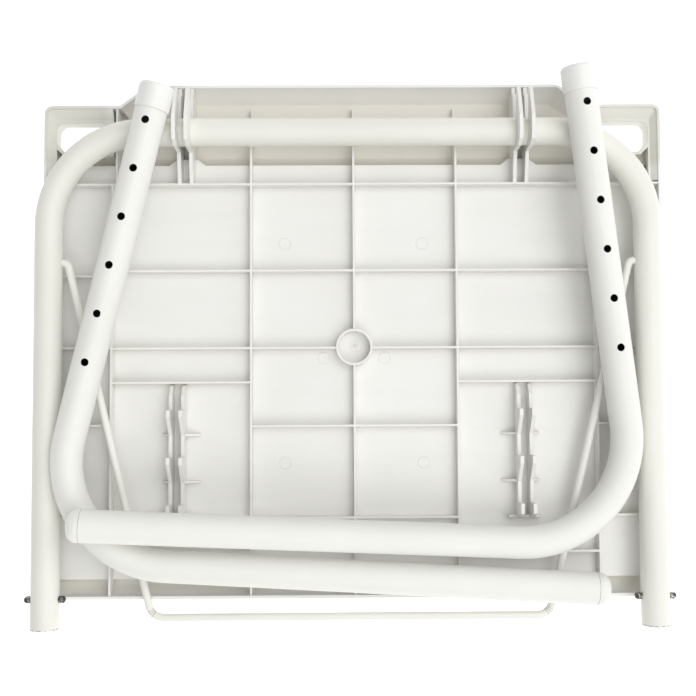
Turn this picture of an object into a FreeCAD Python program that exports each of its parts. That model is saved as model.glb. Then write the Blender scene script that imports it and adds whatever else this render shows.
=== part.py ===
import FreeCAD, Part
import Sketcher
import math
import os

# Folding table, packed flat with its working face down.
# X runs along the long side of the tray, Y runs from the open ends of the frame to the hinge
# side, Z points up from the floor.  The origin is on the floor under the middle of the whole pack.
# The tray hooks over the crossbar of a U frame; a wire prop swings in the frame and stands in one
# of three notches of the tray; two lower legs lie loose on top.

doc = FreeCAD.newDocument("folding_table")
sheet = doc.addObject("Spreadsheet::Sheet", "Sizes")

DRIVING = (
    # tray moulding
    ("tray_width", 500.0), ("tray_depth", 396.0), ("rear_extra", 16.6), ("rear_half", 167.0),
    ("ramp_run", 22.0), ("corner_round", 6.5), ("lip_round", 6.0), ("rim_height", 20.0),
    ("wall", 2.4), ("floor_skin", 2.5), ("plate_face", 7.0), ("plate_skin", 2.5),
    ("side_channel", 11.0), ("front_channel", 14.0), ("rear_step", 151.0), ("rib_top", 19.0),
    ("rib_thick", 1.8), ("rib_inner", 83.0), ("rib_outer", 195.0), ("boss_across", 29.6),
    ("boss_wall", 2.0), ("grip_inner", 197.0), ("grip_outer", 241.5), ("grip_low", 160.0),
    ("grip_high", 185.5), ("grip_wall_top", 14.0), ("land_from", 136.0), ("land_top", 19.3),
    ("cove", 7.0), ("rear_slope", 15.5), ("rear_bend", 20.0), ("tray_off_x", 4.0), ("tray_off_y", 0.0),
    # hinge clips and notch racks
    ("clip_centre", 135.7), ("clip_pitch", 9.6), ("web_thick", 3.0), ("clip_top", 54.0),
    ("clip_mouth", 15.0), ("clip_front", 14.2), ("clip_rear", 33.0), ("clip_tail", 45.5),
    ("rack_centre", 139.0), ("rack_off", -3.0), ("rack_pitch", 9.8),
    ("seat_level", 21.0), ("tooth_top", 34.0), ("tooth_pitch", 37.3), ("first_face", -48.9),
    # upper frame
    ("tube_across", 22.0), ("tube_wall", 1.2), ("leg_half_span", 238.0), ("frame_bend", 75.0),
    ("bar_line", 172.5), ("leg_reach", 390.5), ("rest_gap", 0.6), ("running_gap", 0.08),
    # snap buttons and their leaf springs
    ("button_across", 5.6), ("button_up", 22.6), ("button_proud", 5.2), ("leaf_thick", 0.7),
    # wire prop
    ("wire_across", 6.0), ("pivot_drop", 104.4), ("prop_reach", 279.7), ("prop_foot_half", 156.5),
    ("prop_top_half", 222.9), ("prop_top_bend", 4.5), ("prop_foot_bend", 12.0), ("prop_tilt", 1.74),
    # lower legs
    ("lower_across", 25.0), ("lower_wall", 1.2), ("hole_pitch", 38.1), ("hole_across", 6.0),
    ("hole_first", 347.0), ("lower_top", 375.0), ("foot_reach", 430.5), ("lower_bend", 80.0),
    ("elbow_angle", 79.3), ("collar_across", 27.0), ("collar_long", 20.0), ("cap_dome", 10.5),
    ("cap_plug", 14.0),
)


class Size:
    """A length with the sheet expression that gives it, so that sums of sizes stay bound."""

    def __init__(self, value, text):
        self.value, self.text = float(value), text

    def join(self, other, sign, flip=False):
        other = other if isinstance(other, Size) else Size(other, repr(float(other)))
        a, b = (other, self) if flip else (self, other)
        number = {"+": lambda: a.value + b.value, "-": lambda: a.value - b.value,
                  "*": lambda: a.value * b.value, "/": lambda: a.value / b.value}[sign]()
        return Size(number, f"({a.text} {sign} {b.text})")

    def __add__(self, other): return self.join(other, "+")
    def __radd__(self, other): return self.join(other, "+", True)
    def __sub__(self, other): return self.join(other, "-")
    def __rsub__(self, other): return self.join(other, "-", True)
    def __mul__(self, other): return self.join(other, "*")
    def __rmul__(self, other): return self.join(other, "*", True)
    def __truediv__(self, other): return self.join(other, "/")
    def __neg__(self): return self.join(-1, "*")


class Sizes:
    """The driving sizes by name."""


S = Sizes()
for row, (alias, number) in enumerate(DRIVING, start=1):
    sheet.set(f"A{row}", alias)
    sheet.set(f"B{row}", str(number))
    sheet.setAlias(f"B{row}", alias)
    setattr(S, alias, Size(number, f"Sizes.{alias}"))
doc.recompute()


def num(size):
    return size.value if isinstance(size, Size) else float(size)


def bind(thing, prop, size):
    """Bind a property to the sheet, or set it when the size is a plain number."""
    if isinstance(size, Size):
        thing.setExpression(prop, size.text)
    elif "." in prop or "[" in prop:
        thing.setExpression(prop, repr(float(size)))
    else:
        setattr(thing, prop, float(size))


def box(name, x, y, z, dx, dy, dz):
    """A box from its low corner and its three sides."""
    solid = doc.addObject("Part::Box", name)
    for prop, size in (("Length", dx), ("Width", dy), ("Height", dz), ("Placement.Base.x", x),
                       ("Placement.Base.y", y), ("Placement.Base.z", z)):
        bind(solid, prop, size)
    return solid


def cylinder(name, x, y, z, across, high):
    solid = doc.addObject("Part::Cylinder", name)
    for prop, size in (("Radius", across / 2), ("Height", high), ("Placement.Base.x", x),
                       ("Placement.Base.y", y), ("Placement.Base.z", z)):
        bind(solid, prop, size)
    return solid


def fuse(name, shapes):
    joined = doc.addObject("Part::MultiFuse", name)
    joined.Shapes = shapes
    return joined


def cut(name, base, tool):
    result = doc.addObject("Part::Cut", name)
    result.Base, result.Tool = base, tool
    return result


def new_body(name):
    body = doc.addObject("PartDesign::Body", name)
    body.Label = name
    return body


def plane_of(body, role):
    return next(f for f in body.Origin.OriginFeatures if f.Role == role)


def new_sketch(body, name, role, offset=0.0):
    sketch = body.newObject("Sketcher::SketchObject", name)
    sketch.AttachmentSupport = [(plane_of(body, role), "")]
    sketch.MapMode = "FlatFace"
    bind(sketch, "AttachmentOffset.Base.z", offset)
    return sketch


def pin(sketch, geometry, end, x, y):
    """Hold a point of a sketch at x, y from the sketch's origin."""
    for kind, size in (("DistanceX", x), ("DistanceY", y)):
        index = sketch.addConstraint(
            Sketcher.Constraint(kind, -1, 1, geometry, end, num(size)))
        if isinstance(size, Size):
            sketch.setExpression(f"Constraints[{index}]", size.text)


def polygon(sketch, points):
    """A closed outline whose corners are all held by the sheet."""
    spots = [FreeCAD.Vector(num(x), num(y), 0) for x, y in points]
    count = len(spots)
    for i in range(count):
        sketch.addGeometry(Part.LineSegment(spots[i], spots[(i + 1) % count]), False)
    for i in range(count):
        sketch.addConstraint(Sketcher.Constraint("Coincident", i, 2, (i + 1) % count, 1))
    for i, (x, y) in enumerate(points):
        pin(sketch, i, 1, x, y)


def circle(sketch, x, y, across):
    spot = FreeCAD.Vector(num(x), num(y), 0)
    index = sketch.addGeometry(Part.Circle(spot, FreeCAD.Vector(0, 0, 1), num(across) / 2), False)
    pin(sketch, index, 3, x, y)
    width = sketch.addConstraint(Sketcher.Constraint("Diameter", index, num(across)))
    bind(sketch, f"Constraints[{width}]", across)


def bent_path(sketch, points, radii):
    """Straight runs joined by tangent arcs.  The corners and the bend radii are held."""
    spots = [FreeCAD.Vector(num(x), num(y), 0) for x, y in points]
    cuts = [(spots[0], spots[0])]
    arcs = []
    for i in range(1, len(spots) - 1):
        back = (spots[i - 1] - spots[i]).normalize()
        ahead = (spots[i + 1] - spots[i]).normalize()
        half = back.getAngle(ahead) / 2
        radius = num(radii[i - 1])
        run = radius / math.tan(half)
        first, last = spots[i] + back * run, spots[i] + ahead * run
        middle = (back + ahead).normalize()
        centre = spots[i] + middle * (radius / math.sin(half))
        arcs.append((first, centre - middle * radius, last))
        cuts.append((first, last))
    cuts.append((spots[-1], spots[-1]))
    order = []
    for i in range(len(spots) - 1):
        line = sketch.addGeometry(Part.LineSegment(cuts[i][1], cuts[i + 1][0]), False)
        order.append((line, 1, 2))
        if i < len(arcs):
            arc = sketch.addGeometry(Part.Arc(*arcs[i]), False)
            start = sketch.getPoint(arc, 1)
            forward = start.distanceToPoint(arcs[i][0]) < 1e-6
            order.append((arc, 1, 2) if forward else (arc, 2, 1))
    for (a, _, a_end), (b, b_start, _) in zip(order, order[1:]):
        sketch.addConstraint(Sketcher.Constraint("Tangent", a, a_end, b, b_start))
    pin(sketch, order[0][0], 1, *points[0])
    pin(sketch, order[-1][0], 2, *points[-1])
    for i, radius in enumerate(radii):
        corner = sketch.addGeometry(Part.Point(spots[i + 1]), True)
        pin(sketch, corner, 1, *points[i + 1])
        for line in (order[2 * i][0], order[2 * i + 2][0]):
            sketch.addConstraint(Sketcher.Constraint("PointOnObject", corner, 1, line))
        index = sketch.addConstraint(Sketcher.Constraint("Radius", order[2 * i + 1][0], num(radius)))
        bind(sketch, f"Constraints[{index}]", radius)


def prism(name, role, points, start, thick):
    """A flat outline made solid, from start to start + thick along the plane's normal."""
    body = new_body(name)
    sketch = new_sketch(body, name + "_outline", role, start)
    polygon(sketch, points)
    pad = body.newObject("PartDesign::Pad", name + "_pad")
    pad.Profile = sketch
    bind(pad, "Length", thick)
    sketch.Visibility = False
    return body


def round_edges(body, name, radius, test):
    """Fillet the edges of a body that pass a test."""
    doc.recompute()
    last = body.Tip
    names = [f"Edge{i}" for i, e in enumerate(last.Shape.Edges, start=1) if test(e)]
    fillet = body.newObject("PartDesign::Fillet", name)
    fillet.Base = (last, names)
    bind(fillet, "Radius", radius)
    return fillet


def upright(edge, x=None, y=None):
    """True for an edge along Z, and near x, y where they are given."""
    a, b = edge.Vertexes[0].Point, edge.Vertexes[-1].Point
    if abs(a.x - b.x) > 0.01 or abs(a.y - b.y) > 0.01 or abs(a.z - b.z) < 0.1:
        return False
    return (x is None or abs(a.x - x) < 0.5) and (y is None or abs(a.y - y) < 0.5)


def pipe(body, name, path, profile, subtract=False):
    kind = "PartDesign::SubtractivePipe" if subtract else "PartDesign::AdditivePipe"
    feature = body.newObject(kind, name)
    feature.Profile = profile
    feature.Spine = (path, [f"Edge{i}" for i in range(1, len(path.Shape.Edges) + 1)])
    return feature


def slot_through(body, name, sketch, length=None):
    """A pocket to both sides of the sketch: right through, or over a stated length."""
    pocket = body.newObject("PartDesign::Pocket", name)
    pocket.Profile = sketch
    if length is None:
        pocket.Type = "ThroughAll"
    else:
        bind(pocket, "Length", length)
    pocket.Midplane = True
    return pocket


def cove(name, role, corner, run, rise, bend, start, far):
    """A hollow fill where a floor meets a wall: run goes along the floor and rise up the wall,
    each with its sign, and bend is the hollow's radius."""
    body = new_body(name)
    sketch = new_sketch(body, name + "_section", role, start)
    spots = [corner, (corner[0] + run, corner[1]), (corner[0], corner[1] + rise)]
    heel, toe, top = [FreeCAD.Vector(num(x), num(y), 0) for x, y in spots]
    chord, middle = top - toe, (toe + top) / 2
    side = FreeCAD.Vector(-chord.y, chord.x, 0).normalize()
    if side.dot(heel - middle) < 0:
        side = side * -1
    sag = num(bend) - math.sqrt(num(bend) ** 2 - (chord.Length / 2) ** 2)
    sketch.addGeometry(Part.LineSegment(heel, toe), False)
    sketch.addGeometry(Part.Arc(toe, middle + side * sag, top), False)
    sketch.addGeometry(Part.LineSegment(top, heel), False)
    first, last = (1, 2) if sketch.getPoint(1, 1).distanceToPoint(toe) < 1e-6 else (2, 1)
    for a, a_end, b, b_end in ((0, 2, 1, first), (1, last, 2, 1), (2, 2, 0, 1)):
        sketch.addConstraint(Sketcher.Constraint("Coincident", a, a_end, b, b_end))
    for line, spot in ((0, spots[0]), (2, spots[2])):
        pin(sketch, line, 1, *spot)
    pin(sketch, 0, 2, *spots[1])
    index = sketch.addConstraint(Sketcher.Constraint("Radius", 1, num(bend)))
    bind(sketch, f"Constraints[{index}]", bend)
    pad = body.newObject("PartDesign::Pad", name + "_pad")
    pad.Profile = sketch
    bind(pad, "Length", far)
    sketch.Visibility = False
    return body


def turned(name, points):
    """A body of revolution about its own Y axis; points are (radius, height)."""
    body = new_body(name)
    sketch = new_sketch(body, name + "_section", "XY_Plane")
    polygon(sketch, points)
    turn = body.newObject("PartDesign::Revolution", name + "_turn")
    turn.Profile = sketch
    turn.ReferenceAxis = (sketch, ["V_Axis"])
    turn.Angle = 360.0
    return body


# ---------------------------------------------------------------- tray
BED = 1.0           # ribs, walls and webs start inside the floor, at this height
LAP = 0.5           # how far a piece of the moulding runs into the one it meets
RAMP_SHIFT = 0.35   # share of an inset by which the corners of the rear ramps move in
RAMP_SHARE = 0.714  # length of a rear ramp over the sum of its run and its rise
half_w, half_d = S.tray_width / 2, S.tray_depth / 2
plate_top = S.plate_face + S.plate_skin
rear = half_d + S.rear_extra


def tray_outline(inset):
    """The outline of the tray, drawn in from the outside by inset."""
    x_side, y_side, y_rear = half_w - inset, half_d - inset, rear - inset
    x_rear = S.rear_half - inset * RAMP_SHIFT
    x_ramp = x_rear + S.ramp_run
    right = [(x_side, y_side), (x_ramp, y_side), (x_rear, y_rear)]
    left = [(-x, y) for x, y in reversed(right)]
    return [(-x_side, -y_side), (x_side, -y_side)] + right + left


slab = prism("tray_slab", "XY_Plane", tray_outline(0.0), 0.0, S.rim_height)
round_edges(slab, "tray_corners", S.corner_round, lambda e: upright(e) and abs(
    abs(e.Vertexes[0].Point.x) - num(half_w)) < 0.5)
round_edges(slab, "rear_corners", S.ramp_run / 2, lambda e: upright(e) and abs(
    abs(e.Vertexes[0].Point.x) - num(S.rear_half)) < 0.5)
round_edges(slab, "lip_edge", S.lip_round, lambda e: max(v.Point.z for v in e.Vertexes) < 0.01)

# Hollows of the underside: everything inside the wall down to the plate, and deeper along the
# two sides, the front and the hinge side, where the lip and the rear shelf rise in use.
inner = prism("under_hollow", "XY_Plane", tray_outline(S.wall), plate_top,
              S.rim_height - plate_top + 1)
round_edges(inner, "hollow_corners", S.corner_round - S.wall, lambda e: upright(e) and abs(
    abs(e.Vertexes[0].Point.x) - num(half_w - S.wall)) < 0.5)
in_x, in_y = half_w - S.wall, half_d - S.wall
deep = plate_top - S.floor_skin + LAP
shelf_points = [(-in_x, S.rear_step), (in_x, S.rear_step)] + tray_outline(S.wall)[2:]
shelf = prism("rear_hollow", "XY_Plane", shelf_points, S.floor_skin, deep)
channels = [
    box("front_hollow", -in_x, -in_y, S.floor_skin, in_x * 2, S.front_channel - S.wall, deep),
    box("left_hollow", -in_x, -in_y, S.floor_skin, S.side_channel - S.wall, in_y * 2, deep),
    box("right_hollow", half_w - S.side_channel, -in_y, S.floor_skin,
        S.side_channel - S.wall, in_y * 2, deep),
]
shell = cut("tray_shell", slab, fuse("tray_hollows", [inner, shelf] + channels))

# Ribs.  Each is (along X or Y, its line, from, to).
thin = S.rib_thick
ri, ro = S.rib_inner, S.rib_outer
side_x = half_w - S.side_channel
upper_rib, middle_rib = 133.5, 63.0
RIBS = [("y", 0.0, -in_y, S.bar_line)]
for side in (-1, 1):
    RIBS += [("y", side * ri, -in_y, S.bar_line), ("y", side * ro, -in_y, upper_rib),
             ("x", -27.0, side * ri, side * ro), ("x", -162.4, side * ri, side * ro),
             ("x", 59.0, side * ro, side * side_x), ("x", -61.0, side * ro, side * side_x),
             ("x", -134.0, side * ro, side * in_x), ("x", upper_rib, side * ro, side * in_x),
             ("x", 1.0, side * ro, side * in_x), ("y", side * 191.5, upper_rib, in_y)]
RIBS += [("x", upper_rib, -side_x, side_x), ("x", middle_rib, -ro, ro), ("x", 0.5, -ro, ro),
         ("x", -62.0, -ri, ri), ("x", -135.0, -ri, ri)]
ribs = []
for i, (way, line, start, end) in enumerate(RIBS):
    if num(start) > num(end):
        start, end = end, start
    tall, far = S.rib_top - BED, end - start + LAP * 2
    if way == "y":
        ribs.append(box(f"rib_{i}", line - thin / 2, start - LAP, BED, thin, far, tall))
    else:
        ribs.append(box(f"rib_{i}", start - LAP, line - thin / 2, BED, far, thin, tall))

low_ribs = [box(f"low_rib_{side + 1}", side * ri - thin / 2, S.bar_line, BED, thin, 26.0, S.cove)
            for side in (-1, 0, 1)]

# Hollow fills round the deep channels, and the sloping land round each finger opening.
coves = [
    cove("rear_cove", "YZ_Plane", (rear - S.wall, S.floor_skin), -S.cove - 2, S.rear_slope,
         S.rear_bend, -S.rear_half, S.rear_half * 2),
    cove("step_cove", "YZ_Plane", (S.rear_step, S.floor_skin), S.cove + 4, plate_top - S.floor_skin,
         S.cove + 2.2, -in_x - 1, in_x * 2 + 2),
    cove("front_cove", "YZ_Plane", (-in_y, S.floor_skin), S.cove, S.cove + 2, S.cove + 1.2,
         -in_x - 1, in_x * 2 + 2),
]
ramp_turn = math.degrees(math.atan2(num(S.rear_extra), num(S.ramp_run)))
ramp_long = (S.ramp_run + S.rear_extra) * RAMP_SHARE
for side, tag in ((-1, "left"), (1, "right")):
    coves.append(cove(f"{tag}_cove", "XZ_Plane", (side * in_x, S.floor_skin), -side * (S.cove - 1),
                      S.cove + 2, S.cove + 1.0, -S.grip_low, S.grip_low + in_y))
    ramp = cove(f"{tag}_ramp_cove", "YZ_Plane", (0.0, S.floor_skin), -S.cove - 2, S.rear_slope,
                S.rear_bend, 0.0, ramp_long)
    ramp.Placement.Rotation = FreeCAD.Rotation(FreeCAD.Vector(0, 0, 1), -side * ramp_turn)
    start = (S.rear_half - S.wall * RAMP_SHIFT, rear - S.wall) if side > 0 else (
        -(S.rear_half + S.ramp_run - S.wall * RAMP_SHIFT), half_d - S.wall)
    bind(ramp, "Placement.Base.x", start[0])
    bind(ramp, "Placement.Base.y", start[1])
    land, wide, edge_wide = S.grip_wall_top, in_x - ro, in_x - S.grip_outer
    low_x, edge_x = (ro, S.grip_outer) if side > 0 else (-in_x, -in_x)
    coves += [
        ramp,
        box(f"{tag}_land_rear", low_x, S.grip_high, BED, wide, in_y - S.grip_high, land - BED),
        box(f"{tag}_land_side", edge_x, S.land_from, BED, edge_wide, in_y - S.land_from,
            land - BED),
        prism(f"{tag}_slope_rear", "YZ_Plane",
              [(S.grip_high + 2, land - 0.1), (in_y + 0.5, land - 0.1), (in_y + 0.5, S.land_top)],
              low_x, wide),
        prism(f"{tag}_slope_side", "XZ_Plane",
              [(side * (S.grip_outer + 1.5), land - 0.1), (side * (in_x + 0.5), land - 0.1),
               (side * (in_x + 0.5), S.land_top)][::side], -in_y, in_y - S.land_from),
    ]

ring = cylinder("centre_ring", 0.0, 1.0, S.plate_face + 1, S.boss_across,
                S.rib_top - S.plate_face - 0.5)
ring_bore = cylinder("ring_bore", 0.0, 1.0, plate_top, S.boss_across - S.boss_wall * 2, 15.0)


def grip_outline(side, extra):
    """The finger opening's outline, grown outward by extra."""
    low, high = S.grip_low - extra, S.grip_high + extra
    near, far = S.grip_inner - extra, S.grip_outer + extra
    shape = [(near, low), (far - 8.0, low), (far, low + 8.0), (far, high), (near, high)]
    return [(side * x, y) for x, y in (shape if side > 0 else reversed(shape))]


grip_walls, grip_holes = [], []
for side, tag in ((-1, "left"), (1, "right")):
    grip_walls.append(prism(f"{tag}_grip_wall", "XY_Plane", grip_outline(side, 2.0), BED,
                            S.grip_wall_top - BED))
    hole = prism(f"{tag}_grip_hole", "XY_Plane", grip_outline(side, 0.0), -1.0, S.rim_height + 2.0)
    round_edges(hole, f"{tag}_grip_round", 7.0, upright)
    grip_holes.append(hole)

# Everything between the walls ends at the tray's own rounded outside.
inside = doc.addObject("Part::Common", "tray_inside")
inside.Base = slab
inside.Tool = fuse("inside_parts", [ring] + ribs + low_ribs + coves + grip_walls)

# Hinge clips: pairs of webs, each a snap hook that wraps the crossbar under a roof, with its
# mouth to the rear.
bar_y, bar_z = S.bar_line, S.rim_height + S.tube_across / 2 + S.rest_gap
front_y, rear_y = bar_y - S.clip_front, bar_y + S.clip_rear
clip_points = [
    (upper_rib, BED), (rear - 8.0, BED), (rear - S.wall / 2, S.lip_round), (rear - S.wall / 2, S.rib_top),
    (rear_y, S.rib_top), (rear_y, S.clip_tail - 2.5), (rear_y - 3.0, S.clip_tail),
    (bar_y + 8.0, S.clip_top), (bar_y - 5.0, S.clip_top), (front_y + 3.7, S.clip_top - 2.5),
    (front_y, S.clip_top - 10.0), (front_y, S.rib_top + 6.0), (upper_rib, S.rib_top),
]
foot_far, foot_near, foot_out = 16.0, 8.5, 5.0
webs = []
for side in (-1, 1):
    middle = side * S.clip_centre
    for k in (-0.5, 0.5):
        webs.append(prism(f"clip_web_{len(webs)}", "YZ_Plane", clip_points,
                          middle + k * S.clip_pitch - S.web_thick / 2, S.web_thick))
    pad_points = [
        (middle - foot_far, S.rear_step - 1), (middle + foot_far, S.rear_step - 1),
        (middle + foot_near, S.rear_step + foot_out), (middle - foot_near, S.rear_step + foot_out)]
    webs.append(prism(f"clip_footing_{side + 1}", "XY_Plane", pad_points, BED, plate_top - BED))

bar_bore = doc.addObject("Part::Cylinder", "bar_bore")
bind(bar_bore, "Radius", S.tube_across / 2 + S.running_gap)
bind(bar_bore, "Height", S.tray_width)
bar_bore.Placement.Rotation = FreeCAD.Rotation(FreeCAD.Vector(0, 1, 0), 90)
for prop, size in (("x", -half_w), ("y", bar_y), ("z", bar_z)):
    bind(bar_bore, f"Placement.Base.{prop}", size)
mouth = box("clip_mouth", -half_w, bar_y, bar_z - S.clip_mouth / 2, S.tray_width, S.clip_rear * 2,
            S.clip_mouth)
hooks = cut("hinge_hooks", fuse("clip_webs", webs), fuse("hook_cuts", [bar_bore, mouth]))

# Notch racks: pairs of webs with three seats for the prop, each behind a square-faced tooth.
floor_z = S.plate_face + BED
rack_points = [(S.first_face + 20.0, floor_z), (S.first_face + 20.0, S.seat_level - 6.0),
               (S.first_face + 11.5, S.seat_level)]
for tooth in range(3):
    face = S.first_face - tooth * S.tooth_pitch
    rack_points += [(face, S.seat_level), (face, S.tooth_top), (face - 5.5, S.tooth_top)]
    if tooth < 2:
        rack_points.append((face - 20.5, S.seat_level))
last_face = S.first_face - 2 * S.tooth_pitch
rack_points += [(last_face - 8.0, S.tooth_top), (last_face - 12.5, S.seat_level - 2.0),
                (last_face - 12.5, floor_z)]
racks = []
for side in (-1, 1):
    middle = side * S.rack_centre + S.rack_off
    for k in (-0.5, 0.5):
        racks.append(prism(f"rack_web_{len(racks)}", "YZ_Plane", list(reversed(rack_points)),
                           middle + k * S.rack_pitch - S.web_thick / 2, S.web_thick))
    for j, line in enumerate((S.first_face - 20.0, S.first_face - 57.5)):
        for way, reach in ((-side, 12.0), (side, 7.0)):
            foot = middle + way * (S.rack_pitch / 2 + S.web_thick / 2 - 0.5)
            shape = [(foot, floor_z), (foot + way * reach, floor_z),
                     (foot + way * reach, plate_top + 1.5), (foot, S.seat_level - 2.0)]
            shape = shape if way > 0 else list(reversed(shape))
            racks.append(prism(f"rack_fin_{side + 1}_{j}_{way + 1}", "XZ_Plane", shape,
                               -line - 0.9, thin))
    racks.append(box(f"rack_base_{side + 1}", middle - 13.0, last_face - 12.0, floor_z, 26.0,
                     thin, S.rib_top - floor_z))

skin = S.plate_skin
recess = box("face_recess", skin - side_x, S.front_channel + skin - half_d, -1.0,
             side_x * 2 - skin * 2, S.rear_step + half_d - S.front_channel - skin * 2,
             S.plate_face + 1.0)
doc.recompute()
soft_recess = doc.addObject("Part::Fillet", "soft_recess")
soft_recess.Base = recess
soft_recess.Edges = [(i, 6.0, 6.0) for i, e in enumerate(recess.Shape.Edges, start=1) if upright(e)]
solid = fuse("tray_solid", [shell, inside, hooks] + racks)
tray = cut("tray_top", solid, fuse("tray_cuts", [soft_recess, ring_bore] + grip_holes))
tray.Label = "tray_top"
tray_place = FreeCAD.Vector(num(S.tray_off_x), num(S.tray_off_y), 0)
bind(tray, "Placement.Base.x", S.tray_off_x)
bind(tray, "Placement.Base.y", S.tray_off_y)

# ---------------------------------------------------------------- upper frame
frame_place = FreeCAD.Placement(
    FreeCAD.Vector(0, num(S.bar_line + S.tray_off_y), num(bar_z)), FreeCAD.Rotation())
span = S.leg_half_span
frame = new_body("frame_tube")
frame_path = new_sketch(frame, "frame_line", "XY_Plane")
bent_path(frame_path, [(-span, -S.leg_reach), (-span, 0.0), (span, 0.0), (span, -S.leg_reach)],
          [S.frame_bend, S.frame_bend])
for name, across, hollow in (("frame_skin", S.tube_across, False),
                             ("frame_bore", S.tube_across - S.tube_wall * 2, True)):
    ring_sketch = new_sketch(frame, name + "_ring", "XZ_Plane", S.leg_reach)
    circle(ring_sketch, -span, 0.0, across)
    doc.recompute()
    pipe(frame, name, frame_path, ring_sketch, hollow)
doc.recompute()
button_line = -S.leg_reach + S.button_up
button_holes = new_sketch(frame, "button_hole_ring", "YZ_Plane")
circle(button_holes, button_line, 0.0, S.button_across + 0.1)
slot_through(frame, "button_holes", button_holes)
pivot_ring = new_sketch(frame, "pivot_hole_ring", "YZ_Plane")
circle(pivot_ring, -S.pivot_drop, 0.0, S.wire_across + S.running_gap * 2)
slot_through(frame, "pivot_holes", pivot_ring, span * 2)
frame.Placement = frame_place

# ---------------------------------------------------------------- snap buttons and leaf springs
button_names = []
shaft = S.button_across / 2
flange_in, flange_out = S.tube_across / 2 - 3.6, S.tube_across / 2 - 2.6
tip = S.tube_across / 2 + S.button_proud
for side, leg in ((-1, "left"), (1, "right")):
    for way, face in ((side, "outer"), (-side, "inner")):
        name = f"button_{leg}_{face}"
        stud = turned(name, [
            (0.0, flange_in), (shaft + 1.4, flange_in), (shaft + 1.4, flange_out), (shaft, flange_out),
            (shaft, tip - 2.0), (shaft * 0.8, tip - 0.8), (shaft * 0.45, tip - 0.15), (0.0, tip)])
        stud.Placement = FreeCAD.Placement(
            FreeCAD.Vector(side * num(span), num(S.bar_line + S.tray_off_y + button_line), num(bar_z)),
            FreeCAD.Rotation(FreeCAD.Vector(0, 0, 1), -90 * way))
        button_names.append(name)
    arm, leaf = flange_in - 0.2, S.leaf_thick
    outer_face = [(-arm, -7.0), (-arm, 6.0), (-1.8, 42.0), (1.8, 42.0), (arm, 6.0), (arm, -7.0)]
    inner_face = [(arm - leaf, -7.0), (arm - leaf, 5.9), (1.3, 41.2), (-1.3, 41.2),
                  (leaf - arm, 5.9), (leaf - arm, -7.0)]
    spring = prism(f"leaf_spring_{leg}", "XY_Plane", list(reversed(outer_face + inner_face)), -3.5, 7.0)
    spring.Placement = FreeCAD.Placement(
        FreeCAD.Vector(side * num(span), num(S.bar_line + S.tray_off_y + button_line), num(bar_z)),
        FreeCAD.Rotation())

# ---------------------------------------------------------------- wire prop
prop = new_body("support_wire")
prop_path = new_sketch(prop, "prop_line", "XY_Plane")
end_x = span - 4.5
bent_path(prop_path, [(-end_x, 0.0), (-S.prop_top_half, 0.0), (-S.prop_foot_half, -S.prop_reach),
                      (S.prop_foot_half, -S.prop_reach), (S.prop_top_half, 0.0), (end_x, 0.0)],
          [S.prop_top_bend, S.prop_foot_bend, S.prop_foot_bend, S.prop_top_bend])
wire_ring = new_sketch(prop, "wire_ring", "YZ_Plane", -end_x)
circle(wire_ring, 0.0, 0.0, S.wire_across)
doc.recompute()
pipe(prop, "wire_skin", prop_path, wire_ring)
prop.Placement = FreeCAD.Placement(
    FreeCAD.Vector(0, num(S.bar_line + S.tray_off_y - S.pivot_drop), num(bar_z)),
    FreeCAD.Rotation(FreeCAD.Vector(1, 0, 0), num(S.prop_tilt)))

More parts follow.
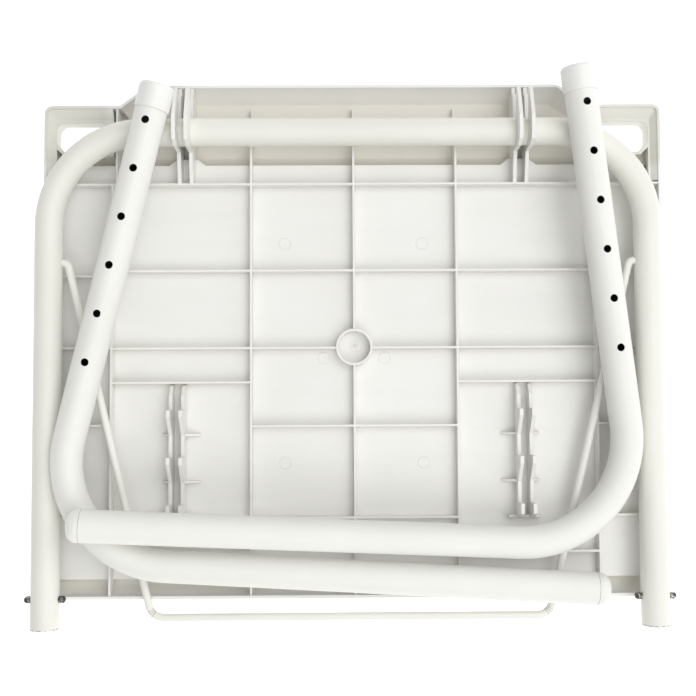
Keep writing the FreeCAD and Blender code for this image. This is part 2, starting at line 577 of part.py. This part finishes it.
# ---------------------------------------------------------------- lower legs
# Each lies on the pack as a flat elbow: (side the foot points to, elbow x, y, turn in plan,
# height of its plane over the tray's middle, slopes of that plane along X and Y).
LOWER = {
    "left": (1, -243.6, -163.1, -14.1, 48.95, -0.0042, 0.0454),
    "right": (-1, 223.2, -157.0, 7.6, 60.8, -0.0714, 0.0453),
}
elbow = math.radians(num(S.elbow_angle))
for leg, (side, elbow_x, elbow_y, turn, level, slope_x, slope_y) in LOWER.items():
    foot_x, foot_y = side * math.sin(elbow), math.cos(elbow)
    place = FreeCAD.Placement(
        FreeCAD.Vector(elbow_x, elbow_y, level + slope_x * elbow_x + slope_y * elbow_y) + tray_place,
        FreeCAD.Rotation(FreeCAD.Vector(0, 0, 1), FreeCAD.Vector(-slope_x, -slope_y, 1))
        * FreeCAD.Rotation(FreeCAD.Vector(0, 0, 1), turn))
    tube = new_body(f"leg_{leg}_tube")
    path = new_sketch(tube, f"{leg}_line", "XY_Plane")
    bent_path(path, [(0.0, S.lower_top), (0.0, 0.0), (S.foot_reach * foot_x, S.foot_reach * foot_y)],
              [S.lower_bend])
    for name, across, hollow in (("skin", S.lower_across, False),
                                 ("bore", S.lower_across - S.lower_wall * 2, True)):
        end_ring = new_sketch(tube, f"{leg}_{name}_ring", "XZ_Plane", -S.lower_top)
        circle(end_ring, 0.0, 0.0, across)
        doc.recompute()
        pipe(tube, f"{leg}_{name}", path, end_ring, hollow)
    doc.recompute()
    pin_ring = new_sketch(tube, f"{leg}_hole_ring", "XY_Plane")
    for step in range(6):
        circle(pin_ring, 0.0, S.hole_first - step * S.hole_pitch, S.hole_across)
    slot_through(tube, f"{leg}_holes", pin_ring)
    tube.Placement = place

    bore, across = S.tube_across / 2 + 0.15, S.collar_across / 2
    top = S.lower_top + 2.0
    collar = turned(f"leg_{leg}_collar", [
        (bore, S.lower_top), (S.lower_across / 2, S.lower_top), (S.lower_across / 2, top - S.collar_long),
        (across - 0.4, top - S.collar_long), (across, top - S.collar_long + 0.6), (across, top - 2.0),
        (across - 1.2, top), (bore, top)])
    collar.Placement = place

    plug, skin = S.lower_across / 2 - S.lower_wall, S.lower_across / 2
    dome = S.cap_dome
    cap = turned(f"leg_{leg}_cap", [
        (0.0, -S.cap_plug), (plug - 0.8, -S.cap_plug), (plug, -S.cap_plug + 2.0), (plug, 0.0),
        (skin, 0.0), (skin, dome * 0.3), (skin * 0.93, dome * 0.58), (skin * 0.76, dome * 0.82),
        (skin * 0.45, dome * 0.96), (0.0, dome)])
    heading = math.degrees(math.atan2(foot_y, foot_x)) - 90
    cap.Placement = place * FreeCAD.Placement(
        FreeCAD.Vector(num(S.foot_reach) * foot_x, num(S.foot_reach) * foot_y, 0),
        FreeCAD.Rotation(FreeCAD.Vector(0, 0, 1), heading))

# ---------------------------------------------------------------- check and write
doc.recompute()
NODES = ["tray_top", "frame_tube", *button_names, "leaf_spring_left", "leaf_spring_right",
         "support_wire"] + [f"leg_{leg}_{part}" for leg in LOWER for part in ("tube", "collar", "cap")]
for thing in doc.Objects:
    if {"Invalid", "Error"} & set(thing.State):
        raise RuntimeError(f"{thing.Label} failed: {thing.State}")
nodes = {name: doc.getObject(name) for name in NODES}
for name, thing in nodes.items():
    shape = thing.Shape
    if shape.isNull() or not shape.isValid() or len(shape.Solids) != 1:
        raise RuntimeError(f"{name} is not one valid solid ({len(shape.Solids)} solids)")
os.makedirs("parts", exist_ok=True)
for name, thing in nodes.items():
    thing.Shape.exportStep(f"parts/{name}.step")
    low = thing.Shape.BoundBox
    print(f"{name:20s} {thing.Shape.Volume / 1000:9.2f} cm3  x {low.XMin:8.2f} {low.XMax:8.2f}"
          f"  y {low.YMin:8.2f} {low.YMax:8.2f}  z {low.ZMin:7.2f} {low.ZMax:7.2f}")
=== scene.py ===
"""Folding tray table, packed flat and seen from above.

Looks, small surface marks, leaf springs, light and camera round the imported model.
"""

import math

import bmesh
import bpy
from mathutils import Euler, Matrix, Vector


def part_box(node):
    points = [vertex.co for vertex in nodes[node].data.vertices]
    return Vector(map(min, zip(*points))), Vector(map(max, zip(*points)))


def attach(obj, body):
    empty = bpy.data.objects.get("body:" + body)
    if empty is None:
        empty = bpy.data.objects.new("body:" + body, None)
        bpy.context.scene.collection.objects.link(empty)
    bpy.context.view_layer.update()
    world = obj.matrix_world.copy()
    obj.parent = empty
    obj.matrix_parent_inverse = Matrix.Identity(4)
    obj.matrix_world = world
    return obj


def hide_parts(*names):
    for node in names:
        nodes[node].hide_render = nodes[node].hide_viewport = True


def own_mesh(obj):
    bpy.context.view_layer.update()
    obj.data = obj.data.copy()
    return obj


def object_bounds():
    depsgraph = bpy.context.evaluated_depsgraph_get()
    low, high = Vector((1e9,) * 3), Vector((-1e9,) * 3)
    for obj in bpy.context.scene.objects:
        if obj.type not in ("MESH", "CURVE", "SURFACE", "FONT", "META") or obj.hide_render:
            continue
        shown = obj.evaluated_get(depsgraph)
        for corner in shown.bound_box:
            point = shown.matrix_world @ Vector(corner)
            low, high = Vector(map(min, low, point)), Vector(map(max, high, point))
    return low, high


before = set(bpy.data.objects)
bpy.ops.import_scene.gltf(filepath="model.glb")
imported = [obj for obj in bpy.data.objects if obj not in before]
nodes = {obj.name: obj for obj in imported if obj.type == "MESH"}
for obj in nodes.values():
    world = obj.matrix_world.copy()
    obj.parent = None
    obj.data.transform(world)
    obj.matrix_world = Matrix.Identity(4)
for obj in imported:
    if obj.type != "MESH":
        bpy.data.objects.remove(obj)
cad_low, cad_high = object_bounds()

MM = 0.001
scene = bpy.context.scene
TRAY_X = (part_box("tray_top")[0][0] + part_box("tray_top")[1][0]) / 2


# ---------------------------------------------------------------- material tools
class Nodes:
    """A material's node tree, with short calls that add a node and link what it is given."""

    def __init__(self, name):
        self.material = bpy.data.materials.new(name)
        self.material.use_nodes = True
        self.tree = self.material.node_tree
        self.tree.nodes.clear()
        self.shader = self.add("ShaderNodeBsdfPrincipled")
        self.out = self.add("ShaderNodeOutputMaterial")
        self.tree.links.new(self.shader.outputs["BSDF"], self.out.inputs["Surface"])

    def add(self, kind, inputs=None, **settings):
        node = self.tree.nodes.new(kind)
        for key, value in settings.items():
            setattr(node, key, value)
        for key, value in (inputs or {}).items():
            self.feed(node.inputs[key], value)
        return node

    def feed(self, socket, value):
        if isinstance(value, bpy.types.NodeSocket):
            self.tree.links.new(value, socket)
        else:
            socket.default_value = value

    def place(self):
        """Where a point is on the object, in metres."""
        return self.add("ShaderNodeTexCoord").outputs["Object"]

    def stretched(self, vector, scale):
        return self.add("ShaderNodeMapping", {"Vector": vector, "Scale": scale}).outputs["Vector"]

    def noise(self, vector, scale, detail=3.0, roughness=0.55, distortion=0.0):
        node = self.add("ShaderNodeTexNoise", {"Vector": vector, "Scale": scale, "Detail": detail,
                                               "Roughness": roughness, "Distortion": distortion})
        return node.outputs["Fac"]

    def cells(self, vector, scale):
        return self.add("ShaderNodeTexVoronoi", {"Vector": vector, "Scale": scale}).outputs["Distance"]

    def ramp(self, factor, stops):
        """stops: (position, value or colour), from left to right."""
        node = self.add("ShaderNodeValToRGB", {"Fac": factor})
        points = node.color_ramp.elements
        while len(points) < len(stops):
            points.new(0.5)
        for point, (at, value) in zip(points, stops):
            point.position = at
            point.color = (*value, 1) if isinstance(value, tuple) else (value, value, value, 1)
        return node.outputs["Color"]

    def blend(self, factor, a, b):
        """Colour a where factor is 0, colour b where it is 1."""
        node = self.add("ShaderNodeMix", data_type="RGBA")
        self.feed(node.inputs[0], factor)
        for socket, value in ((node.inputs[6], a), (node.inputs[7], b)):
            self.feed(socket, (*value, 1) if isinstance(value, tuple) else value)
        return node.outputs[2]

    def math(self, operation, a, b=0.0, clamp=False):
        node = self.add("ShaderNodeMath", operation=operation, use_clamp=clamp)
        self.feed(node.inputs[0], a)
        self.feed(node.inputs[1], b)
        return node.outputs[0]

    def product(self, first, *others):
        for other in others:
            first = self.math("MULTIPLY", first, other)
        return first

    def bump(self, height, strength, distance, under=None):
        """A bumped normal, on top of the normal under."""
        node = self.add("ShaderNodeBump", {"Height": height, "Strength": strength, "Distance": distance})
        if under is not None:
            self.feed(node.inputs["Normal"], under)
        return node.outputs["Normal"]

    def rounded(self, radius):
        """A normal that softens sharp edges over radius metres."""
        return self.add("ShaderNodeBevel", {"Radius": radius}, samples=4).outputs["Normal"]

    def corner(self, distance, own=False):
        """1 in the open, towards 0 in a corner closer than distance; own counts this piece alone."""
        node = self.add("ShaderNodeAmbientOcclusion", {"Distance": distance}, samples=6, only_local=own)
        return node.outputs["AO"]

    def axis(self, vector, which):
        return self.add("ShaderNodeSeparateXYZ", {"Vector": vector}).outputs[which]

    def between(self, value, low, high):
        """0 below low, 1 above high, a straight ramp between; high may be the smaller one."""
        node = self.add("ShaderNodeMapRange", {"Value": value, "From Min": low, "From Max": high})
        return node.outputs["Result"]

    def finish(self, colour, roughness, normal, **sockets):
        for key, value in {"Base Color": colour, "Roughness": roughness, "Normal": normal}.items():
            self.feed(self.shader.inputs[key], value)
        for key, value in sockets.items():
            self.shader.inputs[key.replace("_", " ")].default_value = value
        return self.material


# Where painted shade and a painted shadow darken and warm the tray's plastic, in metres in the part's own
# frame.
HOLLOW_SHADE_Z = (0.0070, 0.0032)
STEP_SHADOW_FRONT_Y, STEP_SHADOW_REAR_Y, STEP_SHADOW_Z = (0.1506, 0.1512), (0.1600, 0.1520), (0.0094, 0.0090)
GRIP_SHADE_X, GRIP_SHADE_Y = (0.1960, 0.2040), (0.1460, 0.1540)


def moulded_plastic():
    """Warm white polypropylene: fine mould texture, long flow marks, painted shade deep down and round
    the finger openings, a painted shadow at the foot of the step, dirt and painted shade in the corners
    and a few specks."""
    n = Nodes("tray_plastic_look")
    place = n.place()
    across, along, height = (n.axis(place, which) for which in "XYZ")
    clouds = n.noise(place, 9.0, 4.0)
    flow = n.noise(n.stretched(place, (2.0, 14.0, 4.0)), 3.0, 5.0, 0.6, 0.6)
    colour = n.ramp(clouds, [(0.3, (0.812, 0.808, 0.778)), (0.7, (0.842, 0.840, 0.815))])
    streaks = n.ramp(flow, [(0.35, (0.785, 0.781, 0.754)), (0.65, (0.865, 0.862, 0.838))])
    colour = n.blend(0.25, colour, streaks)

    upward = n.axis(n.add("ShaderNodeNewGeometry").outputs["Normal"], "Z")
    facing = n.between(upward, -0.1, 0.2)
    # Painted shade: deep, upward-facing plastic is drawn darker and warmer, standing in for shade and
    # warm bounce light low down.
    hollow_shade = n.product(n.between(height, *HOLLOW_SHADE_Z), facing, 0.75)
    colour = n.blend(hollow_shade, colour, (0.800, 0.765, 0.690))
    # Painted shadow: a brown strip on the low floor at the foot of the step, standing in for the
    # crossbar's shadow and the shade at the step.
    step_shadow = n.product(n.between(along, *STEP_SHADOW_REAR_Y), n.between(along, *STEP_SHADOW_FRONT_Y),
                    n.between(height, *STEP_SHADOW_Z), facing, 0.55)
    colour = n.blend(step_shadow, colour, (0.50, 0.465, 0.39))
    # Painted shade: upward-facing plastic round the finger openings is drawn darker and warmer, standing
    # in for the shade on their sloping rims.
    aside = n.math("ABSOLUTE", n.math("SUBTRACT", across, TRAY_X))
    grip_shade = n.product(n.between(aside, *GRIP_SHADE_X), n.between(along, *GRIP_SHADE_Y), facing, 0.80)
    colour = n.blend(grip_shade, colour, (0.66, 0.65, 0.585))

    # Dirt and painted shade: corners found by ambient occlusion are drawn darker and warmer, in patches,
    # partly as dirt and partly standing in for shade in the corners.
    corner_dust_and_shade = n.ramp(n.corner(0.006), [(0.25, 1.0), (0.8, 0.0)])
    patches = n.ramp(n.noise(place, 35.0, 4.0), [(0.35, 0.25), (0.7, 1.0)])
    colour = n.blend(n.product(corner_dust_and_shade, patches, 0.40), colour, (0.60, 0.55, 0.46))
    speckle = n.ramp(n.noise(place, 900.0, 2.0), [(0.66, 0.0), (0.74, 1.0)])
    colour = n.blend(n.product(speckle, 0.10), colour, (0.55, 0.52, 0.46))
    roughness = n.ramp(n.noise(place, 60.0, 4.0), [(0.3, 0.40), (0.7, 0.54)])
    grain = n.noise(place, 1500.0, 2.0)
    waves = n.noise(place, 22.0, 2.0)
    normal = n.bump(grain, 0.10, 0.0002, n.bump(waves, 0.12, 0.0016, n.rounded(0.0006)))
    return n.finish(colour, roughness, normal, Specular_IOR_Level=0.4, IOR=1.49)


def powder_coat(name, light, dark, seed, cut_at=-1.0):
    """Baked powder paint on steel: orange peel, faint runs along the tube, a few grey rubs, dirt and
    painted shade in the corners, bare steel inside the tube drawn near-black as painted shade, and chips
    where the tube is cut off at y = cut_at."""
    n = Nodes(name)
    place = n.place()
    shift = {"Vector": place, "Location": (seed, seed * 0.7, 0.0)}
    moved = n.add("ShaderNodeMapping", shift).outputs["Vector"]
    colour = n.ramp(n.noise(moved, 14.0, 4.0), [(0.3, dark), (0.7, light)])
    rubs = n.noise(n.stretched(moved, (1.0, 1.0, 3.0)), 55.0, 6.0, 0.68, 1.2)
    rub = n.product(n.ramp(rubs, [(0.66, 0.0), (0.76, 1.0)]), 0.22)
    colour = n.blend(rub, colour, (0.62, 0.61, 0.58))
    # Dirt and painted shade: corners found by ambient occlusion are drawn darker and warmer, partly as
    # dirt and partly standing in for shade.
    corner_dust_and_shade = n.ramp(n.corner(0.005), [(0.2, 1.0), (0.75, 0.0)])
    colour = n.blend(n.product(corner_dust_and_shade, 0.30), colour, (0.56, 0.52, 0.44))
    edge = n.between(n.axis(place, "Y"), cut_at + 0.0014, cut_at + 0.0004)
    chips = n.ramp(n.noise(place, 420.0, 3.0, 0.6), [(0.44, 0.0), (0.52, 1.0)])
    colour = n.blend(n.product(edge, chips, 0.75), colour, (0.16, 0.155, 0.145))
    # Painted shade: where the piece's own ambient occlusion is low, inside the tube, the colour turns to
    # near-black bare steel, far darker than steel is, standing in for the shade inside the tube.
    bore_shade = n.ramp(n.corner(0.030, own=True), [(0.28, 1.0), (0.50, 0.0)])
    mottle = n.noise(place, 260.0, 4.0)
    steel = n.ramp(mottle, [(0.3, (0.010, 0.010, 0.009)), (0.7, (0.030, 0.028, 0.025))])
    colour = n.blend(bore_shade, colour, steel)
    satin = n.ramp(n.noise(moved, 90.0, 3.0), [(0.3, 0.40), (0.7, 0.50)])
    roughness = n.math("ADD", satin, n.product(n.math("ADD", rub, bore_shade), 0.3), clamp=True)
    peel = n.noise(place, 420.0, 2.0, 0.5)
    wave = n.noise(place, 45.0, 2.0, 0.5)
    normal = n.bump(peel, 0.16, 0.00025, n.bump(wave, 0.10, 0.0009, n.rounded(0.0003)))
    return n.finish(colour, roughness, normal, Specular_IOR_Level=0.35)


def glossy_plastic(name, light, dark):
    """Smoother moulded white for collars and caps: fine draw lines, scuffs, a soft shine."""
    n = Nodes(name)
    place = n.place()
    colour = n.ramp(n.noise(place, 40.0, 4.0), [(0.3, dark), (0.7, light)])
    scuffs = n.noise(n.stretched(place, (1.0, 1.0, 6.0)), 160.0, 5.0, 0.7, 0.8)
    scuff = n.ramp(scuffs, [(0.64, 0.0), (0.74, 1.0)])
    colour = n.blend(n.product(scuff, 0.18), colour, (0.60, 0.585, 0.55))
    # Dirt and painted shade: corners found by ambient occlusion are drawn darker and warmer, partly as
    # dirt and partly standing in for shade.
    corner_dust_and_shade = n.ramp(n.corner(0.003), [(0.2, 1.0), (0.8, 0.0)])
    colour = n.blend(n.product(corner_dust_and_shade, 0.45), colour, (0.52, 0.49, 0.43))
    shine = n.ramp(n.noise(place, 120.0, 3.0), [(0.3, 0.32), (0.7, 0.44)])
    roughness = n.math("ADD", shine, n.product(scuff, 0.15))
    grain = n.noise(place, 1300.0, 2.0)
    soft = n.bump(n.noise(place, 70.0, 2.0), 0.08, 0.0006, n.rounded(0.0004))
    return n.finish(colour, roughness, n.bump(grain, 0.08, 0.0002, soft), Specular_IOR_Level=0.45)


def plated_steel(name, light, dark, rough):
    """Zinc plate: mottled crystals, fine turning lines, dull dark stains."""
    n = Nodes(name)
    place = n.place()
    crystals = n.cells(place, 700.0)
    colour = n.blend(n.ramp(crystals, [(0.2, 0.0), (0.6, 1.0)]), dark, light)
    stains = n.noise(place, 330.0, 4.0, 0.65)
    stain = n.ramp(stains, [(0.46, 0.0), (0.56, 1.0)])
    colour = n.blend(n.product(stain, 0.85), colour, (0.02, 0.018, 0.016))
    shine = n.ramp(crystals, [(0.0, rough), (1.0, rough + 0.14)])
    roughness = n.math("ADD", shine, n.product(stain, 0.25))
    lines = n.noise(n.stretched(place, (9000.0, 300.0, 300.0)), 1.0, 2.0)
    normal = n.bump(lines, 0.15, 0.0001, n.bump(stains, 0.2, 0.0002, n.rounded(0.0002)))
    return n.finish(colour, roughness, normal, Metallic=1.0)


def seam_grime():
    """The thin dirty line where two pieces meet, and where the wire was pinched by the bender."""
    n = Nodes("seam_look")
    place = n.place()
    grime = n.noise(place, 380.0, 4.0)
    colour = n.ramp(grime, [(0.35, (0.36, 0.345, 0.31)), (0.65, (0.56, 0.545, 0.50))])
    roughness = n.ramp(n.noise(place, 200.0, 3.0), [(0.3, 0.62), (0.7, 0.80)])
    return n.finish(colour, roughness, n.bump(n.noise(place, 1500.0, 2.0), 0.2, 0.0002))


FRAME_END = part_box("frame_tube")[0][1]
PLASTIC = moulded_plastic()
FRAME_PAINT = powder_coat("frame_paint_look", (0.820, 0.814, 0.760), (0.790, 0.784, 0.728), 0.0,
                          FRAME_END)
LEG_PAINT = powder_coat("leg_paint_look", (0.835, 0.833, 0.800), (0.805, 0.802, 0.768), 3.1)
WIRE_PAINT = powder_coat("wire_paint_look", (0.830, 0.826, 0.785), (0.795, 0.790, 0.745), 7.7)
COLLAR_PLASTIC = glossy_plastic("collar_look", (0.850, 0.850, 0.830), (0.820, 0.820, 0.798))
CAP_PLASTIC = glossy_plastic("cap_look", (0.840, 0.838, 0.808), (0.805, 0.802, 0.770))
PIN_STEEL = plated_steel("pin_steel_look", (0.50, 0.49, 0.47), (0.06, 0.058, 0.055), 0.22)
SPRING_STEEL = plated_steel("spring_steel_look", (0.30, 0.30, 0.31), (0.12, 0.12, 0.125), 0.34)
SEAM = seam_grime()

LOOKS = {
    "tray_top": PLASTIC, "frame_tube": FRAME_PAINT, "support_wire": WIRE_PAINT,
    "leg_left_tube": LEG_PAINT, "leg_right_tube": LEG_PAINT,
    "leg_left_collar": COLLAR_PLASTIC, "leg_right_collar": COLLAR_PLASTIC,
    "leg_left_cap": CAP_PLASTIC, "leg_right_cap": CAP_PLASTIC,
    "button_left_outer": PIN_STEEL, "button_left_inner": PIN_STEEL,
    "button_right_outer": PIN_STEEL, "button_right_inner": PIN_STEEL,
    "leaf_spring_left": SPRING_STEEL, "leaf_spring_right": SPRING_STEEL,
}
for node_name, look in LOOKS.items():
    for slot in nodes[node_name].material_slots:
        slot.material = look


# ---------------------------------------------------------------- small moulding and bending marks
def new_piece(name, points, faces, look, body):
    """A mesh piece whose faces all look outward, riding on a body."""
    mesh = bpy.data.meshes.new(name)
    mesh.from_pydata(points, [], faces)
    shell = bmesh.new()
    shell.from_mesh(mesh)
    bmesh.ops.recalc_face_normals(shell, faces=shell.faces)
    shell.to_mesh(mesh)
    shell.free()
    mesh.materials.append(look)
    piece = bpy.data.objects.new(name, mesh)
    scene.collection.objects.link(piece)
    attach(piece, body)
    return piece


def ring_piece(name, centre, axis, profile, look, body, sides=72, wobble=0.0):
    """A ring round an axis from a closed profile of (radius, height) in millimetres.  wobble makes
    its radius wander a little, as a hand-trimmed or pinched edge does."""
    turn = Vector(axis).to_track_quat("Z", "Y")
    points, faces = [], []
    for i, (radius, height) in enumerate(profile):
        for j in range(sides):
            angle = 2 * math.pi * j / sides
            wide = radius + wobble * math.sin(3 * angle + 0.7) + 0.5 * wobble * math.sin(7 * angle)
            spot = Vector((wide * math.cos(angle), wide * math.sin(angle), height)) * MM
            points.append(Vector(centre) + turn @ spot)
            a, b = (i + 1) % len(profile) * sides, (j + 1) % sides
            faces.append((i * sides + j, i * sides + b, a + b, a + j))
    piece = new_piece(name, points, faces, look, body)
    piece.data.polygons.foreach_set("use_smooth", [True] * len(faces))


RIM_SLACK = 0.05 * MM


def flat_end(node):
    """The direction that a turned node's largest flat faces look in, and the centre of the
    hindmost of them along that direction."""
    mesh = nodes[node].data
    groups = {}
    for face in mesh.polygons:
        key = tuple(round(c, 2) for c in face.normal)
        groups.setdefault(key, []).append(face)
    best = max(groups.values(), key=lambda faces: sum(f.area for f in faces))
    normal = sum((f.normal * f.area for f in best), Vector()).normalized()
    spots = [mesh.vertices[v].co for f in best for v in f.vertices]
    level = min(s.dot(normal) for s in spots)
    rim = [s for s in spots if abs(s.dot(normal) - level) < RIM_SLACK]
    return sum(rim, Vector()) / len(rim), normal


# The gate's mark in the centre ring and the ejectors' marks on the panels.  Profiles are
# (radius, height) and places are (x, y) from the tray's centre, all in millimetres.
PANEL_TOP = 9.5 * MM
GATE_AT = (1.2, 2.0)
GATE = [(4.6, -0.2), (4.4, 0.2), (4.0, 0.24), (3.7, 0.06), (1.3, 0.06), (1.1, 0.5), (0.6, 0.7),
        (0.05, 0.72), (0.05, -0.2)]
EJECTORS_AT = [(-24.6, -7.6), (24.6, -7.6), (-56.0, 86.0), (56.0, 86.0), (-56.0, -92.0), (56.0, -92.0)]
EJECTOR = [(5.1, -0.2), (5.0, 0.10), (4.8, 0.15), (4.5, 0.12), (4.35, -0.2)]


def tray_mark(name, at, profile, wobble):
    centre = (TRAY_X + at[0] * MM, at[1] * MM, PANEL_TOP)
    ring_piece(name, centre, (0, 0, 1), profile, PLASTIC, "tray", wobble=wobble)


tray_mark("gate_mark", GATE_AT, GATE, 0.05)
for number, at in enumerate(EJECTORS_AT, start=1):
    tray_mark(f"ejector_mark_{number}", at, EJECTOR, 0.04)

# Seams between the lower legs' tubes and their caps.
SEAM_RING = [(12.30, -0.22), (12.56, -0.20), (12.60, 0.0), (12.56, 0.20), (12.30, 0.22)]
for leg in ("left", "right"):
    centre, normal = flat_end(f"leg_{leg}_cap")
    ring_piece(f"cap_seam_{leg}", centre, normal, SEAM_RING, SEAM, f"leg_{leg}")

# Pinch marks of the bender round the wire's two lower bends: the wire's radius, the bends' radius
# and how far from the middle they are centred, in millimetres, and the marks' angles in degrees.
WIRE, BEND, BEND_X = 3.0, 12.0, 147.0
PINCH_LIFT = 0.2 * MM
PINCH_ANGLES = (32.0, 41.0, 50.0)
PINCH_RISE = 0.03
PINCH = [(WIRE - 0.12, -0.26), (WIRE + 0.10, -0.16), (WIRE + 0.14, 0.0), (WIRE + 0.10, 0.16),
         (WIRE - 0.12, 0.26)]
wire_low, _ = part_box("support_wire")
foot_y, foot_z, bend_x = wire_low[1] + WIRE * MM, wire_low[2] + WIRE * MM, BEND_X * MM
for side, tag in ((-1, "left"), (1, "right")):
    middle = Vector((side * bend_x, foot_y + BEND * MM, foot_z + PINCH_LIFT))
    for number, degrees in enumerate(PINCH_ANGLES, start=1):
        angle = math.radians(degrees)
        out = Vector((side * math.cos(angle), -math.sin(angle), 0.0))
        along = (side * math.sin(angle), math.cos(angle), PINCH_RISE)
        ring_piece(f"pinch_mark_{tag}_{number}", middle + out * BEND * MM, along, PINCH, SEAM, "prop",
                   sides=28, wobble=0.04)


# ---------------------------------------------------------------- leaf springs of the snap buttons
# Sizes in millimetres.  The path is (across, along) from the spring's start, on its middle line.
LEAF_START = 7.0
LEAF_PATH = [(7.2, -7.0), (7.2, -2.0), (7.2, 3.0), (7.15, 5.5), (6.75, 8.6), (5.55, 17.0), (4.05, 27.0),
             (2.55, 37.0), (1.9, 40.6), (1.35, 41.6), (0.6, 42.0), (0.0, 42.0)]
LEAF_THICK, LEAF_HALF, LEAF_EDGE = 0.7, 3.5, 0.15
LEAF_SECTION = [(0.0, LEAF_HALF - LEAF_EDGE), (LEAF_EDGE, LEAF_HALF), (LEAF_THICK - LEAF_EDGE, LEAF_HALF),
                (LEAF_THICK, LEAF_HALF - LEAF_EDGE), (LEAF_THICK, LEAF_EDGE - LEAF_HALF),
                (LEAF_THICK - LEAF_EDGE, -LEAF_HALF), (LEAF_EDGE, -LEAF_HALF),
                (0.0, LEAF_EDGE - LEAF_HALF)]


def leaf_arm(leg, face, toward):
    """Half of a V-shaped leaf spring, from under one button to the bend."""
    spring_low, spring_high = (Vector(corner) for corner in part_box(f"leaf_spring_{leg}"))
    centre = (spring_low + spring_high) / 2
    start = Vector((centre.x, spring_low.y + LEAF_START * MM, centre.z))
    points, faces, count = [], [], len(LEAF_SECTION)
    for i, (x, y) in enumerate(LEAF_PATH):
        before, after = LEAF_PATH[max(i - 1, 0)], LEAF_PATH[min(i + 1, len(LEAF_PATH) - 1)]
        run = Vector((after[0] - before[0], after[1] - before[1])).normalized()
        inward = Vector((-run.y, run.x))
        for depth, height in LEAF_SECTION:
            across, along = x + inward.x * depth, y + inward.y * depth
            points.append(start + Vector((toward * max(across, 0.0), along, height)) * MM)
        if i:
            for j in range(count):
                a, b = (i - 1) * count + j, (i - 1) * count + (j + 1) % count
                faces.append((a, b, b + count, a + count))
    faces += [tuple(range(count)), tuple(range(len(points) - count, len(points)))]
    arm = new_piece(f"leaf_{leg}_{face}", points, faces, SPRING_STEEL, "frame")
    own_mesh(arm)
    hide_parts(f"leaf_spring_{leg}")


for leg, side in (("left", -1), ("right", 1)):
    for face, toward in (("outer", side), ("inner", -side)):
        leaf_arm(leg, face, toward)


# ---------------------------------------------------------------- floor, light and camera
FLOOR_SIZE, FLOOR_GAP, FLOOR_GLOW = 14.0, 0.2 * MM, 0.55


def floor():
    """A pale studio floor, lit from below like a light table, so that openings stay bright."""
    n = Nodes("floor_look")
    place = n.place()
    clouds = n.noise(place, 3.0, 3.0)
    colour = n.ramp(clouds, [(0.3, (0.90, 0.90, 0.895)), (0.7, (0.93, 0.93, 0.925))])
    normal = n.bump(n.noise(place, 400.0, 2.0), 0.02, 0.0005)
    n.finish(colour, 0.9, normal, Specular_IOR_Level=0.1, Emission_Color=(1, 1, 1, 1),
             Emission_Strength=FLOOR_GLOW)
    bpy.ops.mesh.primitive_plane_add(size=FLOOR_SIZE, location=(0, 0, cad_low.z - FLOOR_GAP))
    plane = bpy.context.object
    plane.name = "floor"
    plane.data.materials.append(n.material)


def soft_light(name, place, size, power):
    """A round soft box that looks at the middle of the table."""
    data = bpy.data.lights.new(name, "AREA")
    data.shape, data.size, data.energy = "DISK", size, power
    lamp = bpy.data.objects.new(name, data)
    lamp.location = place
    lamp.rotation_euler = (-Vector(place)).to_track_quat("-Z", "Y").to_euler()
    scene.collection.objects.link(lamp)


WORLD_COLOUR = (1.0, 1.0, 0.99, 1)
WORLD_LEFT, WORLD_RIGHT = 0.34, 0.90


def studio():
    """Soft light from all round, less of it from the left, and two soft boxes."""
    world = bpy.data.worlds.new("studio")
    world.use_nodes = True
    tree = world.node_tree
    back = tree.nodes["Background"]
    back.inputs["Color"].default_value = WORLD_COLOUR
    split = tree.nodes.new("ShaderNodeSeparateXYZ")
    tree.links.new(tree.nodes.new("ShaderNodeTexCoord").outputs["Generated"], split.inputs["Vector"])
    side = tree.nodes.new("ShaderNodeMapRange")
    reach = {"From Min": -1.0, "From Max": 1.0, "To Min": WORLD_LEFT, "To Max": WORLD_RIGHT}
    for socket, value in reach.items():
        side.inputs[socket].default_value = value
    tree.links.new(split.outputs["X"], side.inputs["Value"])
    tree.links.new(side.outputs["Result"], back.inputs["Strength"])
    scene.world = world
    soft_light("key", (0.8, 0.5, 1.9), 1.5, 13.0)
    soft_light("fill", (0.3, -1.2, 1.8), 1.6, 13.0)


CAMERA_AT, CAMERA_TURN = (-0.0077, -0.0452, 0.8282), (3.21, -0.45, -0.32)
LENS, SENSOR = 52.2, 36.0


def camera():
    """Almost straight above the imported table."""
    data = bpy.data.cameras.new("camera")
    data.lens, data.sensor_width = LENS, SENSOR
    cam = bpy.data.objects.new("camera", data)
    cam.location = CAMERA_AT
    cam.rotation_euler = Euler([math.radians(a) for a in CAMERA_TURN])
    scene.collection.objects.link(cam)
    scene.camera = cam


floor()
studio()
camera()
scene.view_settings.view_transform = "Standard"
